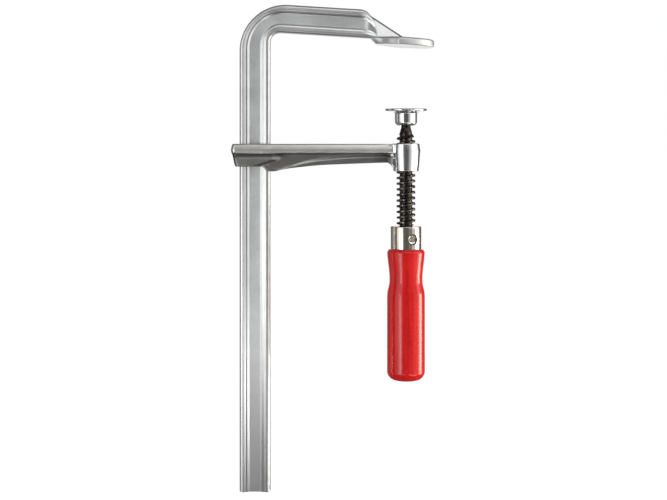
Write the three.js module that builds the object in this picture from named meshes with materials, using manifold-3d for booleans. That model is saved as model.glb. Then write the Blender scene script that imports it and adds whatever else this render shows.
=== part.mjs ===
// Screw clamp: a profiled rail bent into a fixed jaw, and a sliding arm that carries the screw spindle.
// Millimetres, +Z up. The origin is where the spindle's axis meets the face of the fixed jaw.
// The rail hangs at -X. The clamp is drawn with its plate 55 mm below the fixed jaw.
import * as THREE from 'three';
import * as BufferGeometryUtils from 'three/addons/utils/BufferGeometryUtils.js';
import Module from 'manifold-3d';

const wasm = await Module();
wasm.setup();

// Fits between pieces
const fit = 0.3;
const slideFit = 0.5;
const threadFit = 0.4;
const ballFit = 0.35;
const overrun = 2;

// Rail and fixed arm
const throat = 120;
const railWidth = 27.1;
const railThickness = 13;
const railDrop = 393.7;
const railEdge = 2.6;
const grooveDepth = 2.1;
const bendOuterRadius = 40.7;
const bendInnerRadius = 8.6;
const armHeight = 24.8;
const armLift = 4.9;
const droopAngle = 3.5;
const noseLength = 20.4;
const noseEnd = 25.4;

// Fixed jaw
const padThickness = 6.4;
const padWidth = 46;
const padTip = 24.7;
const padNeck = 38.5;
const padEdge = 0.8;
const padUndercut = 5;
const ribStart = 33.6;
const ribEnd = 0.4;
const ribThickness = 3.4;
const ribFoot = 11.5;
const ribTop = 25.4;

// Sliding arm
const armTopDrop = 86.6;
const heelReach = 7.4;
const heelCorner = 3.4;
const bandHeight = 8.1;
const bandWidth = 24;
const bandEndWidth = 18;
const armEdge = 0.8;
const cheekStep = 2.4;
const cheekWaist = 1.2;
const cheekHeight = 20;
const kneeDepth = 24.5;
const kneeWidth = 19;
const webWidth = 8.4;
const keelWidth = 12;
const coveRadius = 1.6;

// Threaded boss
const bossRadius = 12.95;
const bossTopRadius = 12.1;
const bossFootRadius = 11.4;
const bossHeight = 24.6;
const bossRise = 0.3;
const bossBelly = 6.2;
const bossEdge = 0.9;

// Spindle
const pitch = 5;
const threadRadius = 8.4;
const rootRadius = 5.65;
const crestLand = 1.5;
const ridgeBase = 3;
const neckRadius = 4.25;
const neckTaper = 5;
const threadStartDrop = 77.2;
const runOut = 5;
const tangLength = 56;
const tangEdge = 1;
const threadSteps = 20;

// Pressure plate, its ball joint and the ring that traps the ball
const plateFaceDrop = 55.6;
const plateRadius = 18.75;
const plateRim = 2;
const plateThickness = 2.6;
const cupRadius = 10;
const cupDepth = 15;
const cupCorner = 3.8;
const ballRadius = 6;
const ballDrop = 7.6;
const wireRadius = 1;
const ringRadius = 5.75;
const ringDrop = 4.5;
const ringSlot = 3;
const pocketStepAngle = 5;
const mouthRadius = 6.35;
const mouthFlare = 0.6;

// Ferrule and its pin
const ferruleTopDrop = 159.4;
const ferruleHeight = 20;
const ferruleRadius = 13.8;
const ferruleWall = 2.9;
const ferruleRoof = 4.5;
const ferruleEdge = 0.8;
const pinRadius = 2.3;
const pinDrop = 11.3;
const pinAngle = 24;
const dimpleRadius = 4.6;
const dimpleDepth = 2.1;

// Handle
const handleLength = 116.2;
const shoulderRadius = 16.8;
const shoulderEdge = 3.2;
const waistRadius = 14.75;
const gripRadius = 16.9;
const handleTopRadius = 14.2;
const handleEndEdge = 8;
const handleEndDome = 0.6;
const boreEndGap = 2;

const roundSteps = 36;
const fineSteps = 28;
const bendSteps = 10;
const cornerSteps = 4;
const wireSides = 6;

const colour = {
  rail: 0xb4b6b8,
  forging: 0x8a8b8c,
  burnished: 0x241c17,
  bright: 0xd2d4d6,
  spring: 0x8e9194,
  nickel: 0xcdc9be,
  lacquer: 0xb3101a,
};

// Solids from three.js geometry

function signedVolume(position, index) {
  const a = new THREE.Vector3();
  const b = new THREE.Vector3();
  const c = new THREE.Vector3();
  let sum = 0;
  for (let i = 0; i < index.length; i += 3) {
    a.fromBufferAttribute(position, index[i]);
    b.fromBufferAttribute(position, index[i + 1]);
    c.fromBufferAttribute(position, index[i + 2]);
    sum += a.dot(b.cross(c));
  }
  return sum;
}

function solid(geometry) {
  const bare = geometry.clone();
  bare.deleteAttribute('normal');
  bare.deleteAttribute('uv');
  const merged = BufferGeometryUtils.mergeVertices(bare);
  const position = merged.getAttribute('position');
  const source = merged.getIndex().array;
  const flip = signedVolume(position, source) < 0;
  const triVerts = [];
  for (let i = 0; i < source.length; i += 3) {
    const [a, b, c] = [source[i], source[i + 1], source[i + 2]];
    if (a === b || b === c || c === a) continue;
    triVerts.push(...(flip ? [a, c, b] : [a, b, c]));
  }
  return new wasm.Manifold(new wasm.Mesh({
    numProp: 3,
    vertProperties: new Float32Array(position.array),
    triVerts: new Uint32Array(triVerts),
  }));
}

function geometryOf(body) {
  const mesh = body.getMesh();
  const geometry = new THREE.BufferGeometry();
  geometry.setAttribute('position', new THREE.BufferAttribute(mesh.vertProperties, 3));
  geometry.setIndex(new THREE.BufferAttribute(mesh.triVerts, 1));
  geometry.computeVertexNormals();
  return geometry;
}

function joined(...bodies) {
  return bodies.reduce((whole, next) => whole.add(next));
}

function cut(body, ...tools) {
  return tools.reduce((rest, tool) => rest.subtract(tool), body);
}

// A closed skin through flat outlines with one point count, each placed by its own index.
// Each end is a fan about the mean of its outline's points
function loft(outlines, place) {
  const count = outlines[0].length;
  const points = [];
  outlines.forEach((outline, k) => outline.forEach(([a, b]) => points.push(place(k, a, b))));
  const index = [];
  const last = outlines.length - 1;
  for (let k = 0; k < last; k++) {
    for (let i = 0; i < count; i++) {
      const j = (i + 1) % count;
      const [p, q] = [k * count + i, k * count + j];
      index.push(p, q, q + count, p, q + count, p + count);
    }
  }
  for (const k of [0, last]) {
    const ring = points.slice(k * count, (k + 1) * count);
    const hub = ring.reduce((sum, point) => sum.add(point), new THREE.Vector3()).divideScalar(count);
    const middle = points.push(hub) - 1;
    for (let i = 0; i < count; i++) {
      const [p, q] = [k * count + i, k * count + (i + 1) % count];
      index.push(...(k === 0 ? [middle, q, p] : [middle, p, q]));
    }
  }
  const geometry = new THREE.BufferGeometry().setFromPoints(points);
  geometry.setIndex(index);
  return solid(geometry);
}

// A turned body from [radius, height] points, its axis on +Z
function turned(profile, steps) {
  const points = profile.map(([radius, height]) => new THREE.Vector2(radius, height));
  return solid(new THREE.LatheGeometry(points, steps).rotateX(Math.PI / 2));
}

function boxBetween(low, high) {
  const size = high.clone().sub(low);
  const middle = high.clone().add(low).divideScalar(2);
  return solid(new THREE.BoxGeometry(size.x, size.y, size.z).translate(middle.x, middle.y, middle.z));
}

function arc(centre, radius, from, to, steps) {
  const points = [];
  for (let i = 0; i <= steps; i++) {
    const angle = from + (to - from) * i / steps;
    points.push([centre[0] + radius * Math.cos(angle), centre[1] + radius * Math.sin(angle)]);
  }
  return points;
}

function mirrored(half) {
  return [...half, ...half.map(([a, b]) => [-a, b]).reverse()];
}

// Rail, bend, fixed arm and jaw: one bar

// Half of the bar's groove, from its land to the web: shares of the half width and of the depth
const grooveShares = [[0.735, 0], [0.575, 0.46], [0.49, 0.52], [0.345, 1]];

function barOutline(width, thickness, depth) {
  const half = width / 2;
  const face = thickness / 2;
  const edge = Math.min(railEdge, half * (1 - grooveShares[0][0]));
  const round = arc([half - edge, face - edge], edge, 0, Math.PI / 2, 2);
  const groove = grooveShares.map(([across, down]) => [half * across, face - depth * down]);
  const quarter = [...round, ...groove];
  const right = [...quarter.map(([a, b]) => [a, -b]).reverse(), ...quarter];
  return [...right, ...right.map(([a, b]) => [-a, b]).reverse()];
}

const droop = THREE.MathUtils.degToRad(droopAngle);
const along = new THREE.Vector3(Math.cos(droop), 0, -Math.sin(droop));
const above = new THREE.Vector3(Math.sin(droop), 0, Math.cos(droop));
const acrossBar = new THREE.Vector3(0, 1, 0);

// A point of the fixed jaw: u along the arm, v off the jaw's face, w across
function jawPoint(u, v, w) {
  return new THREE.Vector3()
    .addScaledVector(along, u).addScaledVector(above, v).addScaledVector(acrossBar, w);
}

const railInnerX = -throat;
const railOuterX = railInnerX - railWidth;
const armUnder = armLift;
const armOver = armLift + armHeight;

// A point of the bend's outer or inner arc, which touches the rail's edge and the arm's edge
function bendPoint(edgeX, edgeV, radius, angle) {
  const x = edgeX + radius;
  const z = (edgeV - radius - x * Math.sin(droop)) / Math.cos(droop);
  return new THREE.Vector3(x + radius * Math.cos(angle), 0, z + radius * Math.sin(angle));
}

// The nose rounds the bar's upper corner and closes its groove.
// Rows: share of its length, of the groove's depth and of the fall to the pad
const noseShares = [
  [0, 1, 0], [0.22, 1, 0], [0.42, 0.95, 0.05], [0.58, 0.75, 0.16], [0.72, 0.4, 0.3],
  [0.84, 0.1, 0.48], [0.92, 0, 0.7], [0.97, 0, 0.88],
];

function railBar() {
  const edges = [[
    new THREE.Vector3(railOuterX, 0, -railDrop), new THREE.Vector3(railInnerX, 0, -railDrop), 1,
  ]];
  for (let i = 0; i <= bendSteps; i++) {
    const angle = Math.PI - (Math.PI / 2 + droop) * i / bendSteps;
    edges.push([
      bendPoint(railOuterX, armOver, bendOuterRadius, angle),
      bendPoint(railInnerX, armUnder, bendInnerRadius, angle), 1,
    ]);
  }
  for (const [share, groove, fall] of noseShares) {
    const u = noseLength * (share - 1) - noseEnd;
    const top = armOver - (armOver - padThickness) * fall;
    edges.push([jawPoint(u, top, 0), jawPoint(u, armUnder, 0), groove]);
  }
  const outlines = edges.map(([outer, inner, groove]) => (
    barOutline(outer.distanceTo(inner), railThickness, grooveDepth * groove)));
  const bar = loft(outlines, (k, a, b) => {
    const [outer, inner] = edges[k];
    const side = outer.clone().sub(inner).normalize();
    return outer.clone().add(inner).divideScalar(2).addScaledVector(side, a).addScaledVector(acrossBar, b);
  });
  return joined(bar, jawPad(), jawRib());
}

// Half of the pad's plan, from its neck to its tip: shares of the reach and of the half width
const padShares = [
  [0, 0.27], [0.04, 0.35], [0.13, 0.53], [0.28, 0.75], [0.39, 0.92], [0.455, 1], [0.56, 0.975], [0.7, 0.9],
  [0.82, 0.785], [0.92, 0.6], [0.98, 0.36], [1, 0.12],
];
const padNeckShare = 0.13;

function padOutline(inset, undercut) {
  const half = padWidth / 2 - inset;
  const start = padUndercut - padNeck;
  const reach = padTip - inset - start;
  const side = padShares.map(([alongShare, halfShare]) => {
    const nearNeck = Math.max(0, 1 - alongShare / padNeckShare);
    return [start + reach * alongShare + (undercut - padUndercut) * nearNeck, half * halfShare];
  });
  return [...side, ...side.map(([u, w]) => [u, -w]).reverse()];
}

function jawPad() {
  const levels = [
    [padEdge, padUndercut, 0], [0, padUndercut - padEdge, padEdge],
    [0, 0, padThickness - padEdge], [padEdge, 0, padThickness],
  ];
  const outlines = levels.map(([inset, undercut]) => padOutline(inset, undercut));
  return loft(outlines, (k, u, w) => jawPoint(u, levels[k][2], w));
}

// A gusset on the middle plane, from the bar's upper corner to the pad, thicker at its foot
function jawRib() {
  const foot = (armUnder + padThickness) / 2;
  const outlineTo = (peak) => [
    [-ribFoot / 2, foot], [ribFoot / 2, foot], [ribThickness / 2, peak], [-ribThickness / 2, peak],
  ];
  const slope = (ribStart - ribEnd) / (ribTop - padThickness);
  const low = (foot + padThickness) / 2;
  const peaks = [ribTop, padThickness, low];
  const places = [-ribStart, -ribEnd, (padThickness - low) * slope - ribEnd];
  return loft(peaks.map(outlineTo), (k, w, v) => jawPoint(places[k], v, w));
}

// Sliding arm

const armTop = -armTopDrop;
const heelX = railOuterX - heelReach;

// Plan outline with a rounded heel: its corner, its straight side and its end towards the spindle
function planOutline(left, half, corner, shoulder, shoulderHalf, end, endHalf) {
  const side = [
    ...arc([left + corner, half - corner], corner, Math.PI, Math.PI / 2, cornerSteps),
    [shoulder, shoulderHalf], [end, endHalf],
  ];
  return [...side, ...side.map(([x, y]) => [x, -y]).reverse()];
}

function armBand() {
  const levels = [
    [armEdge, 0], [0, armEdge], [0, bandHeight - armEdge / 2], [armEdge / 2, bandHeight],
  ];
  const endHalf = bandEndWidth / 2;
  const outlines = levels.map(([inset]) => planOutline(
    heelX + inset, bandWidth / 2 - inset, heelCorner, -bossRadius, endHalf - inset,
    -rootRadius, endHalf - inset,
  ));
  return loft(outlines, (k, x, y) => new THREE.Vector3(x, y, armTop - levels[k][1]));
}

// The cheeks hold the rail below the band. Rows: share of their drop, of the waist's depth,
// of the heel's step and, for the end towards the spindle, of the throat
const cheekShares = [
  [0.33, 1, 0, 0.905], [0.47, 1.1, 0.5, 0.905], [0.56, 0.35, 0.8, 0.905], [0.68, 0, 0.92, 0.915],
  [0.96, 0, 1.5, 1.05], [1, 0.6, 1.7, 1.06],
];

function armCheeks() {
  const outlines = cheekShares.map(([, waist, step, reach]) => {
    const half = bandWidth / 2 - cheekWaist * waist;
    const shoulder = -throat * reach;
    return planOutline(
      heelX + cheekStep * step, half, heelCorner, shoulder, half,
      shoulder + (half - webWidth / 2), webWidth / 2,
    );
  });
  return loft(outlines, (k, x, y) => new THREE.Vector3(x, y, armTop - cheekHeight * cheekShares[k][0]));
}

// Web and keel. Rows: place from rail to spindle, web width, keel width, ridge and underside
// as shares of the throat, of the widths' ranges and of the knee's depth
const keelShares = [
  [-0.06, 1, 1, 0.7, 0.8], [-0.018, 1, 1, 0.8, 0.985], [0.022, 0.95, 0.9, 0.88, 0.99],
  [0.075, 0.8, 0.62, 0.91, 0.94], [0.13, 0.6, 0.36, 0.83, 0.89], [0.215, 0.36, 0.18, 0.715, 0.84],
  [0.3, 0.2, 0.09, 0.63, 0.795], [0.39, 0.09, 0.04, 0.575, 0.76], [0.55, 0, 0, 0.5, 0.728],
  [0.7, 0, 0, 0.465, 0.7], [0.865, 0, 0.02, 0.45, 0.678], [0.885, 0.12, 0.22, 0.47, 0.74],
  [0.905, 0.3, 0.4, 0.5, 0.87], [0.93, 0.3, 0.4, 0.5, 0.9],
];

function armKeel() {
  const top = armTop - bandHeight / 2;
  const shade = armTop - bandHeight;
  const outlines = keelShares.map(([, web, keel, ridge, depth]) => {
    const webHalf = (webWidth + (kneeWidth - webWidth) * web) / 2;
    const keelHalf = (keelWidth + (kneeWidth - keelWidth) * keel) / 2;
    const ridgeZ = armTop - kneeDepth * ridge;
    const foot = armTop - kneeDepth * depth;
    const hollow = Math.min(coveRadius, (shade - ridgeZ) / 3);
    return mirrored([
      [webHalf + hollow, top], [webHalf + hollow, shade], [webHalf, shade - hollow],
      [webHalf, ridgeZ + hollow], [keelHalf - armEdge / 2, ridgeZ], [keelHalf, ridgeZ - armEdge / 2],
      [keelHalf, Math.min(foot + armEdge, ridgeZ - armEdge)], [keelHalf - armEdge, foot],
    ]);
  });
  return loft(outlines, (k, y, z) => new THREE.Vector3(-throat + throat * keelShares[k][0], y, z));
}

const bossTop = armTop + bossRise;
const bossFoot = bossTop - bossHeight;

function boss() {
  return turned([
    [0, bossFoot], [bossFootRadius - bossEdge, bossFoot], [bossFootRadius, bossFoot + bossEdge],
    [bossRadius, bossTop - bossBelly], [bossRadius, bossTop - bossBelly / 2],
    [bossTopRadius, bossTop - bossEdge / 2], [bossTopRadius - bossEdge / 2, bossTop], [0, bossTop],
  ], roundSteps);
}

// One helical ridge. Its crest runs upward with the turn, as a right-hand thread's does
function threadRidge(inner, outer, baseLand, tipLand, low, high) {
  const steps = Math.ceil((high - low) / pitch * threadSteps);
  const section = [
    [inner, -baseLand / 2], [outer, -tipLand / 2], [outer, tipLand / 2], [inner, baseLand / 2],
  ];
  return loft(Array(steps + 1).fill(section), (k, radius, height) => {
    const angle = 2 * Math.PI * k / threadSteps;
    const z = low + pitch * k / threadSteps + height;
    return new THREE.Vector3(radius * Math.cos(angle), radius * Math.sin(angle), z);
  });
}

const ferruleTop = -ferruleTopDrop;
const threadLow = ferruleTop - pitch;
const threadHigh = -threadStartDrop;
const ridgeInner = rootRadius - threadFit;

function slidingArm() {
  const windowHalf = railThickness / 2 + slideFit;
  const window = boxBetween(
    new THREE.Vector3(railOuterX - slideFit, -windowHalf, bossFoot - overrun),
    new THREE.Vector3(railInnerX + slideFit, windowHalf, armTop + overrun),
  );
  const boreRadius = rootRadius + threadFit;
  const bore = turned([
    [0, bossFoot - overrun], [boreRadius, bossFoot - overrun],
    [boreRadius, bossTop + overrun], [0, bossTop + overrun],
  ], threadSteps);
  const turnsBelow = Math.floor((bossFoot - overrun - threadLow) / pitch);
  const groove = threadRidge(
    ridgeInner, threadRadius + threadFit, ridgeBase + fit * 2, crestLand + fit * 2,
    threadLow + turnsBelow * pitch, bossTop + overrun + pitch,
  );
  const body = joined(armBand(), armCheeks(), armKeel(), boss());
  return cut(body, window, bore, groove);
}

// Spindle

const plateFace = -plateFaceDrop;
const ballCentre = plateFace - ballDrop;
const tangEnd = ferruleTop - tangLength;
const pinHeight = ferruleTop - pinDrop;

function pinRod(radius, length) {
  const turn = THREE.MathUtils.degToRad(pinAngle);
  const geometry = new THREE.CylinderGeometry(radius, radius, length, fineSteps / 2);
  return solid(geometry.rotateZ(turn).translate(0, 0, pinHeight));
}

function spindle() {
  const neckAngle = Math.asin(neckRadius / ballRadius);
  const ball = arc([0, ballCentre], ballRadius, Math.PI / 2, neckAngle - Math.PI / 2, cornerSteps * 3);
  const core = turned([
    [0, ballCentre + ballRadius], ...ball.slice(1),
    [neckRadius, threadHigh + neckTaper], [rootRadius, threadHigh], [rootRadius, tangEnd + tangEdge],
    [rootRadius - tangEdge, tangEnd], [0, tangEnd],
  ], threadSteps);
  const low = ferruleTop + fit;
  const envelope = turned([
    [0, low], [rootRadius, low], [threadRadius + fit, low + (threadRadius + fit - rootRadius) / 2],
    [threadRadius + fit, threadHigh - runOut], [rootRadius, threadHigh], [0, threadHigh],
  ], threadSteps);
  const ridge = threadRidge(ridgeInner, threadRadius, ridgeBase, crestLand, threadLow, threadHigh + pitch);
  const pinHole = pinRod(pinRadius + fit, ferruleRadius * 2);
  return cut(joined(core, ridge.intersect(envelope)), pinHole);
}

// Pressure plate and ring. The pocket's walls are all centred on the ball, so the plate can tilt

function pressurePlate() {
  const cupFoot = plateFace - cupDepth;
  const under = plateFace - plateThickness;
  const outside = turned([
    [0, plateFace], [plateRadius - plateRim / 4, plateFace], [plateRadius, plateFace - plateRim / 4],
    [plateRadius, plateFace - plateRim], [cupRadius + plateThickness, under],
    [cupRadius, under - plateRim / 4],
    ...arc([cupRadius - cupCorner, cupFoot + cupCorner], cupCorner, 0, -Math.PI / 2, cornerSteps),
    [0, cupFoot],
  ], roundSteps);
  const pocketRadius = ballRadius + ballFit;
  const chamberRadius = Math.hypot(ringRadius, ringDrop) + wireRadius + ballFit;
  const step = THREE.MathUtils.degToRad(-pocketStepAngle);
  const mouth = -Math.acos(mouthRadius / chamberRadius);
  const pocket = turned([
    ...arc([0, ballCentre], pocketRadius, Math.PI / 2, step, cornerSteps * 2),
    ...arc([0, ballCentre], chamberRadius, step, mouth, cornerSteps),
    [mouthRadius + mouthFlare, cupFoot], [mouthRadius + mouthFlare, cupFoot - overrun],
    [0, cupFoot - overrun],
  ], fineSteps);
  return cut(outside, pocket);
}

function retainingRing() {
  const slot = ringSlot / ringRadius;
  const section = [];
  for (let i = 0; i < wireSides; i++) {
    const angle = 2 * Math.PI * i / wireSides;
    section.push([ringRadius + wireRadius * Math.cos(angle), wireRadius * Math.sin(angle)]);
  }
  return loft(Array(fineSteps + 1).fill(section), (k, radius, height) => {
    const angle = slot / 2 + (2 * Math.PI - slot) * k / fineSteps;
    const z = ballCentre - ringDrop + height;
    return new THREE.Vector3(radius * Math.cos(angle), radius * Math.sin(angle), z);
  });
}

// Ferrule, its pin and the handle

const ferruleFoot = ferruleTop - ferruleHeight;

function ferrule() {
  const boreRadius = rootRadius + fit;
  const inner = ferruleRadius - ferruleWall;
  const shell = turned([
    [boreRadius, ferruleTop], [ferruleRadius - ferruleEdge, ferruleTop],
    [ferruleRadius, ferruleTop - ferruleEdge], [ferruleRadius, ferruleFoot], [inner, ferruleFoot],
    [inner, ferruleTop - ferruleRoof], [boreRadius, ferruleTop - ferruleRoof], [boreRadius, ferruleTop],
  ], roundSteps);
  const cone = new THREE.CylinderGeometry(pinRadius + fit, dimpleRadius, dimpleDepth, fineSteps);
  const dimple = solid(cone.translate(0, -(ferruleRadius - dimpleDepth / 2), 0)
    .rotateZ(THREE.MathUtils.degToRad(pinAngle)).translate(0, 0, pinHeight));
  return cut(shell, dimple, pinRod(pinRadius + fit, ferruleRadius * 2 + overrun));
}

function handlePin() {
  return pinRod(pinRadius, (ferruleRadius - dimpleDepth / 2) * 2);
}

// The grip's outline below its shoulder: shares of the handle's length, and of shoulder to waist or grip
const gripShares = [
  [0.1, 0.35, 0], [0.16, 0.75, 0], [0.215, 1, 0], [0.25, 1, 0],
  [0.285, 1, 0.3], [0.33, 1, 0.85], [0.37, 1, 1],
];

function handle() {
  const top = ferruleFoot - fit;
  const foot = ferruleFoot - handleLength;
  const tenon = ferruleRadius - ferruleWall - fit;
  const tenonTop = ferruleTop - ferruleRoof - fit;
  const boreRadius = rootRadius + fit;
  const grip = gripShares.map(([down, toWaist, toGrip]) => [
    shoulderRadius + (waistRadius - shoulderRadius) * toWaist + (gripRadius - waistRadius) * toGrip,
    ferruleFoot - handleLength * down,
  ]);
  const shoulder = [shoulderRadius, top - shoulderEdge];
  const neck = [(handleTopRadius + shoulderRadius * 2) / 3, top - shoulderEdge / 3];
  const body = turned([
    [boreRadius, tenonTop], [tenon, tenonTop], [tenon, top], [handleTopRadius, top], neck, shoulder,
    ...grip,
    ...arc([gripRadius - handleEndEdge, foot + handleEndEdge], handleEndEdge, 0, -Math.PI / 2, fineSteps / 4),
    [0, foot - handleEndDome], [0, tangEnd - boreEndGap], [boreRadius, tangEnd - boreEndGap],
    [boreRadius, tenonTop],
  ], roundSteps);
  return cut(body, pinRod(pinRadius + fit, ferruleRadius * 2));
}

// The assembly

function piece(name, body, color, roughness, metalness) {
  const material = new THREE.MeshStandardMaterial({ color, roughness, metalness });
  const mesh = new THREE.Mesh(geometryOf(body), material);
  mesh.name = name;
  return mesh;
}

const group = new THREE.Group();
group.add(
  piece('rail_bar', railBar(), colour.rail, 0.32, 0.9),
  piece('sliding_arm', slidingArm(), colour.forging, 0.38, 0.9),
  piece('spindle', spindle(), colour.burnished, 0.4, 0.8),
  piece('pressure_plate', pressurePlate(), colour.bright, 0.15, 1),
  piece('retaining_ring', retainingRing(), colour.spring, 0.3, 0.9),
  piece('ferrule', ferrule(), colour.nickel, 0.2, 1),
  piece('handle_pin', handlePin(), colour.spring, 0.3, 0.9),
  piece('handle', handle(), colour.lacquer, 0.25, 0),
);

export default group;
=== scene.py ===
"""A screw clamp in its finishes: plated rail, forged sliding arm, screw spindle and red handle."""
from math import acos, asin, atan2, copysign, cos, hypot, pi, radians, sin, sqrt, tan, tau

import bmesh
import bpy
import numpy as np
from mathutils import Matrix, Vector
from numpy.linalg import norm


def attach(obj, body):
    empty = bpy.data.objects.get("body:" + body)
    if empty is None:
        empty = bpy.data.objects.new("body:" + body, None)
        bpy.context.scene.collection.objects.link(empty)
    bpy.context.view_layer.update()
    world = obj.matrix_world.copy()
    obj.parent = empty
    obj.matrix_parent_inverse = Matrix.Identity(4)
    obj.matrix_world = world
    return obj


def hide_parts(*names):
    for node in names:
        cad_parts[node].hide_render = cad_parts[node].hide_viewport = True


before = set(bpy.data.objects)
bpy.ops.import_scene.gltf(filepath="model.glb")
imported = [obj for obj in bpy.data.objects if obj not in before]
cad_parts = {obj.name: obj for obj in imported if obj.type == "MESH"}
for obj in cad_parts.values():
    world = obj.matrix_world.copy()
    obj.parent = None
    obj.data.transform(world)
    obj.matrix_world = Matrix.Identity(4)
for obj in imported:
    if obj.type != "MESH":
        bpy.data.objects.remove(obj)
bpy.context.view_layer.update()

MM = 0.001

# Rail and fixed arm, as in the solids
THROAT = 120 * MM
RAIL_WIDTH = 27.1 * MM
RAIL_THICKNESS = 13 * MM
RAIL_DROP = 393.7 * MM
RAIL_EDGE = 2.6 * MM
GROOVE_DEPTH = 2.1 * MM
GROOVE_ROUND = 0.35 * MM
BEND_OUTER = 40.7 * MM
BEND_INNER = 8.6 * MM
ARM_HEIGHT = 24.8 * MM
ARM_LIFT = 4.9 * MM
DROOP = radians(3.5)
NOSE_LENGTH = 20.4 * MM
NOSE_END = 25.4 * MM
RAIL_INNER_X = -THROAT
RAIL_OUTER_X = RAIL_INNER_X - RAIL_WIDTH

# Fixed jaw
PAD_THICKNESS = 6.4 * MM
PAD_WIDTH = 46 * MM
PAD_TIP = 24.7 * MM
PAD_NECK = 31 * MM
PAD_EDGE = 1.0 * MM
PAD_TOP_EDGE = 1.9 * MM
PAD_UNDERCUT = 5 * MM
RIB_START = 33.6 * MM
RIB_END = 0.4 * MM
RIB_THICKNESS = 3.4 * MM
RIB_FOOT = 11.5 * MM
RIB_TOP = 25.4 * MM

# Sliding arm and its boss
ARM_TOP = -86.6 * MM
HEEL_REACH = 7.4 * MM
HEEL_CORNER = 3.4 * MM
BAND_HEIGHT = 8.1 * MM
BAND_WIDTH = 24 * MM
BAND_END_WIDTH = 15.4 * MM
BOSS_FILLET = 5 * MM
CHEEK_STEP = 2.4 * MM
CHEEK_WAIST = 1.2 * MM
CHEEK_HEIGHT = 20 * MM
CHEEK_TAPER = 9 * MM
CHEEK_FALL = 4 * MM
KNEE_DEPTH = 24.5 * MM
KNEE_WIDTH = 19 * MM
WEB_WIDTH = 8.4 * MM
KEEL_WIDTH = 12 * MM
COVE_RADIUS = 1.6 * MM
ARM_EDGE = 0.8 * MM
FORGING_VOXEL = 0.55 * MM
SLIDE_FIT = 0.5 * MM
BOSS_RADIUS = 12.95 * MM
BOSS_TOP_RADIUS = 12.1 * MM
BOSS_FOOT_RADIUS = 11.4 * MM
BOSS_HEIGHT = 24.6 * MM
BOSS_RISE = 0.3 * MM
BOSS_BELLY = 6.2 * MM
BOSS_EDGE = 0.9 * MM
BOSS_TOP = ARM_TOP + BOSS_RISE
BOSS_FOOT = BOSS_TOP - BOSS_HEIGHT
HEEL_X = RAIL_OUTER_X - HEEL_REACH

# Spindle
PITCH = 5 * MM
THREAD_RADIUS = 8.4 * MM
ROOT_RADIUS = 5.65 * MM
CREST_LAND = 1.5 * MM
RIDGE_BASE = 3 * MM
THREAD_FIT = 0.4 * MM
NECK_RADIUS = 4.25 * MM
NECK_TAPER = 5 * MM
THREAD_HIGH = -77.2 * MM
RUN_OUT = 5 * MM
TANG_LENGTH = 56 * MM
TANG_EDGE = 1 * MM

# Pressure plate, ball and ring
PLATE_FACE = -55.6 * MM
PLATE_RADIUS = 18.75 * MM
PLATE_RIM = 2 * MM
PLATE_THICKNESS = 2.6 * MM
CUP_RADIUS = 10 * MM
CUP_DEPTH = 15 * MM
CUP_CORNER = 3.8 * MM
BALL_RADIUS = 6 * MM
BALL_DROP = 7.6 * MM
BALL_FIT = 0.35 * MM
BALL_CENTRE = PLATE_FACE - BALL_DROP
WIRE_RADIUS = 1 * MM
RING_RADIUS = 5.75 * MM
RING_DROP = 4.5 * MM
RING_SLOT = 3 * MM
POCKET_STEP = radians(5)
MOUTH_RADIUS = 6.35 * MM
MOUTH_FLARE = 0.6 * MM

# Ferrule, its pin and the handle
FIT = 0.3 * MM
PRESS_FIT = 0.05 * MM
FERRULE_TOP = -159.4 * MM
FERRULE_HEIGHT = 20 * MM
FERRULE_FOOT = FERRULE_TOP - FERRULE_HEIGHT
FERRULE_RADIUS = 13.8 * MM
FERRULE_WALL = 2.9 * MM
FERRULE_ROOF = 4.5 * MM
FERRULE_EDGE = 0.8 * MM
PIN_RADIUS = 2.3 * MM
PIN_Z = FERRULE_TOP - 11.3 * MM
PIN_ANGLE = radians(24)
DIMPLE_RADIUS = 4.6 * MM
DIMPLE_DEPTH = 2.1 * MM
DIMPLE_RIM = 0.5 * MM
HANDLE_LENGTH = 116.2 * MM
SHOULDER_RADIUS = 16.8 * MM
SHOULDER_EDGE = 3.2 * MM
WAIST_RADIUS = 14.75 * MM
GRIP_RADIUS = 16.9 * MM
HANDLE_END_EDGE = 8 * MM
HANDLE_END_DOME = 0.6 * MM
BORE_END_GAP = 2 * MM
TANG_END = FERRULE_TOP - TANG_LENGTH
THREAD_LOW = FERRULE_TOP + FIT

OVERRUN = 2 * MM
WELD = 0.002 * MM
ROUND_STEPS = 96
CORNER_STEPS = 5
STRAIGHT = 0.02


# Node trees written as expressions

def sum_step(operation):
    return lambda wire, other: wire.tree.math(operation, wire, other)


class Wire:
    """A socket that takes part in sums: each operator on it adds a Math node."""

    def __init__(self, tree, socket):
        self.tree = tree
        self.socket = socket

    def __rsub__(self, other):
        return self.tree.math("SUBTRACT", other, self)

    def __abs__(self):
        return self.tree.math("ABSOLUTE", self)

    __add__ = __radd__ = sum_step("ADD")
    __sub__ = sum_step("SUBTRACT")
    __mul__ = __rmul__ = sum_step("MULTIPLY")
    __truediv__ = sum_step("DIVIDE")
    __mod__ = sum_step("FLOORED_MODULO")
    least = sum_step("MINIMUM")
    most = sum_step("MAXIMUM")

    def ease(self, low, high, to_low=0.0, to_high=1.0):
        """A soft step up from low to high, or down if low is above high."""
        return self.tree.node(
            "ShaderNodeMapRange", {"interpolation_type": "SMOOTHSTEP"},
            {0: self, 1: low, 2: high, 3: to_low, 4: to_high},
        )

    def band(self, low, full, fading, high):
        """1 from full to fading, and softly down to 0 at low and at high."""
        return self.ease(low, full) * self.ease(high, fading)

    def mix(self, a, b):
        """Colour a where this is 0, b where it is 1."""
        a, b = ((*side, 1) if isinstance(side, tuple) else side for side in (a, b))
        return self.tree.node("ShaderNodeMix", {"data_type": "RGBA"}, {0: self, 6: a, 7: b}, out=2)


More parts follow.
